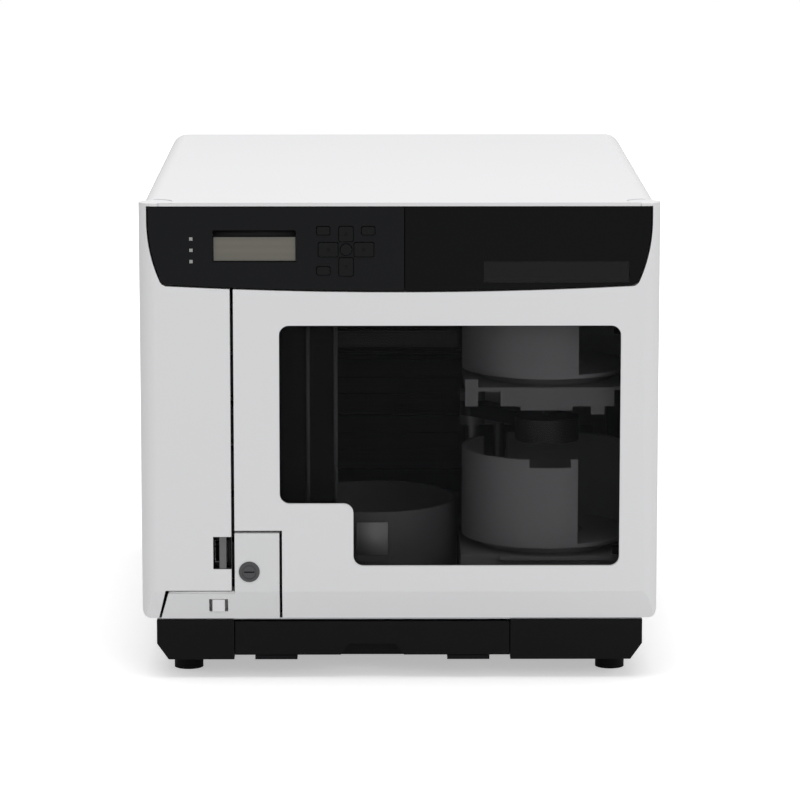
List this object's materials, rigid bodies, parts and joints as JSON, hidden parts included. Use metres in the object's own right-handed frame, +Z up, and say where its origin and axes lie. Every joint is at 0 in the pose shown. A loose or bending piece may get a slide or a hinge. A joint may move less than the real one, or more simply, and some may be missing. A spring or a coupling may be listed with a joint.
{
  "type": "disc label printer",
  "caption": "Box-shaped disc label printer with hinged front covers, a stepped smoked window over round disc bins, a swinging lift arm, drive trays and a base drawer.",
  "frame": {"origin": "centre of the footprint, on the surface that the printer stands on", "axes": "+Z up, -Y towards the front face, +X to the right seen from the front"},
  "size_m": [0.377, 0.4945, 0.352],
  "materials": {
    "shell_white": "fine matt",
    "latch_grey": "satin",
    "base_black": "satin",
    "fascia_black": "semi-gloss",
    "key_black": "semi-gloss",
    "smoked_clear": "clear, smoked",
    "display_glass": "gloss",
    "lamp_clear": "gloss",
    "lock_metal": "dark plated",
    "foot_rubber": "matt",
    "chassis_steel": "zinc plated",
    "bright_steel": "ground",
    "bay_grey": "matt",
    "bin_plastic": "satin",
    "drive_black": "satin",
    "printer_plastic": "satin",
    "arm_plastic": "satin",
    "lift_alloy": "satin",
    "motor_black": "satin",
    "ink_body": "satin",
    "board_green": "satin",
    "inlet_black": "satin",
    "fan_black": "satin"
  },
  "bodies": {
    "cabinet": {"base_tray": "base_black", "rubber_feet": "foot_rubber", "chassis_deck": "chassis_steel", "right_side_panel": "shell_white", "left_side_panel": "shell_white", "top_cover": "shell_white", "rear_panel": "shell_white", "front_frame": "base_black", "hinge_pins": "bright_steel", "lower_bezel": "shell_white", "control_panel": "fascia_black", "indicator_panel": "fascia_black", "indicator_lens": "smoked_clear", "display_module": "display_glass", "status_lamps": "lamp_clear", "compartment_wall": "chassis_steel", "right_frame_plate": "chassis_steel", "compartment_floor": "bay_grey", "stacker_shelf": "bay_grey", "stacker_upper": "bin_plastic", "stacker_lower": "bin_plastic", "stacker_left": "bin_plastic", "drive_lower": "drive_black", "drive_upper": "drive_black", "drive_cage": "chassis_steel", "printer_frame": "chassis_steel", "carriage_rod": "bright_steel", "lift_column": "chassis_steel", "guide_shafts": "bright_steel", "lift_motor": "motor_black", "ink_bay": "bay_grey", "ink_cartridges": "ink_body", "power_supply": "chassis_steel", "power_inlet": "inlet_black", "main_board": "board_green", "fan_frame": "fan_black"},
    "disc_door": {"disc_cover": "shell_white", "cover_window": "smoked_clear"},
    "ink_door": {"ink_cover": "shell_white"},
    "ink_latch": {"ink_cover_latch": "latch_grey"},
    "lock_barrel": {"key_cylinder": "lock_metal"},
    "power_key": {"power_button": "shell_white"},
    "drawer": {"output_drawer": "base_black"},
    "lower_tray": {"drive_lower_tray": "drive_black"},
    "upper_tray": {"drive_upper_tray": "drive_black"},
    "print_tray": {"printer_tray": "printer_plastic"},
    "print_head": {"print_carriage": "printer_plastic"},
    "lift_slide": {"lift_carriage": "lift_alloy"},
    "swing_arm": {"disc_arm": "arm_plastic"},
    "gripper": {"gripper_plunger": "arm_plastic"},
    "screw": {"lift_screw": "bright_steel"},
    "fan": {"fan_rotor": "fan_black"},
    "up_button": {"up_key": "key_black"},
    "down_button": {"down_key": "key_black"},
    "left_button": {"left_key": "key_black"},
    "right_button": {"right_key": "key_black"},
    "menu_button": {"menu_key": "key_black"},
    "cancel_button": {"cancel_key": "key_black"},
    "back_button": {"back_key": "key_black"},
    "enter_button": {"enter_key": "key_black"}
  },
  "joints": [
    {"name": "disc_cover_swing", "type": "hinge", "parent": "cabinet", "child": "disc_door", "pos_m": [0.1765, -0.2345, 0.17], "axis": [0, 0, 1], "range_deg": [0, 95]},
    {"name": "ink_cover_swing", "type": "hinge", "parent": "cabinet", "child": "ink_door", "pos_m": [-0.1765, -0.2345, 0.17], "axis": [0, 0, -1], "range_deg": [0, 95]},
    {"name": "ink_cover_latch_slide", "type": "slide", "parent": "ink_door", "child": "ink_latch", "axis": [-1, 0, 0], "range_m": [0, 0.003], "stiffness_N_per_m": 200},
    {"name": "lock_turn", "type": "hinge", "parent": "cabinet", "child": "lock_barrel", "pos_m": [-0.1098, -0.2465, 0.0811], "axis": [0, -1, 0], "range_deg": [0, 90]},
    {"name": "power_button_press", "type": "slide", "parent": "cabinet", "child": "power_key", "axis": [0, 1, 0], "range_m": [0, 0.002], "stiffness_N_per_m": 300},
    {"name": "drawer_slide", "type": "slide", "parent": "cabinet", "child": "drawer", "axis": [0, -1, 0], "range_m": [0, 0.15]},
    {"name": "lower_tray_slide", "type": "slide", "parent": "cabinet", "child": "lower_tray", "axis": [0, -1, 0], "range_m": [0, 0.12831]},
    {"name": "upper_tray_slide", "type": "slide", "parent": "cabinet", "child": "upper_tray", "axis": [0, -1, 0], "range_m": [0, 0.12831]},
    {"name": "print_tray_slide", "type": "slide", "parent": "cabinet", "child": "print_tray", "axis": [0, -1, 0], "range_m": [0, 0.13631]},
    {"name": "print_head_slide", "type": "slide", "parent": "cabinet", "child": "print_head", "axis": [-1, 0, 0], "range_m": [0, 0.185]},
    {"name": "lift_slide", "type": "slide", "parent": "cabinet", "child": "lift_slide", "axis": [0, 0, 1], "range_m": [-0.068, 0.13]},
    {"name": "arm_swing", "type": "hinge", "parent": "lift_slide", "child": "swing_arm", "pos_m": [0.0565, -0.092, 0.1647], "axis": [0, 0, -1], "range_deg": [0, 97.56]},
    {"name": "gripper_press", "type": "slide", "parent": "swing_arm", "child": "gripper", "axis": [0, 0, -1], "range_m": [0, 0.003], "stiffness_N_per_m": 150, "springref_m": -0.002},
    {"name": "screw_turn", "type": "hinge", "parent": "cabinet", "child": "screw", "pos_m": [0.095, -0.0845, 0.2], "axis": [0, 0, 1], "range_deg": [-3061, 5851]},
    {"name": "fan_spin", "type": "hinge", "parent": "cabinet", "child": "fan", "pos_m": [-0.04, 0.2325, 0.15], "axis": [0, 1, 0], "continuous": true},
    {"name": "up_key_press", "type": "slide", "parent": "cabinet", "child": "up_button", "axis": [0, 1, 0], "range_m": [0, 0.0006], "stiffness_N_per_m": 200},
    {"name": "down_key_press", "type": "slide", "parent": "cabinet", "child": "down_button", "axis": [0, 1, 0], "range_m": [0, 0.0006], "stiffness_N_per_m": 200},
    {"name": "left_key_press", "type": "slide", "parent": "cabinet", "child": "left_button", "axis": [0, 1, 0], "range_m": [0, 0.0006], "stiffness_N_per_m": 200},
    {"name": "right_key_press", "type": "slide", "parent": "cabinet", "child": "right_button", "axis": [0, 1, 0], "range_m": [0, 0.0006], "stiffness_N_per_m": 200},
    {"name": "menu_key_press", "type": "slide", "parent": "cabinet", "child": "menu_button", "axis": [0, 1, 0], "range_m": [0, 0.0006], "stiffness_N_per_m": 200},
    {"name": "cancel_key_press", "type": "slide", "parent": "cabinet", "child": "cancel_button", "axis": [0, 1, 0], "range_m": [0, 0.0006], "stiffness_N_per_m": 200},
    {"name": "back_key_press", "type": "slide", "parent": "cabinet", "child": "back_button", "axis": [0, 1, 0], "range_m": [0, 0.0006], "stiffness_N_per_m": 200},
    {"name": "enter_key_press", "type": "slide", "parent": "cabinet", "child": "enter_button", "axis": [0, 1, 0], "range_m": [0, 0.0006], "stiffness_N_per_m": 200}
  ],
  "couplings": [
    {"joint": "screw_turn", "follows": "lift_slide", "rad_per_m": 785.4}
  ]
}
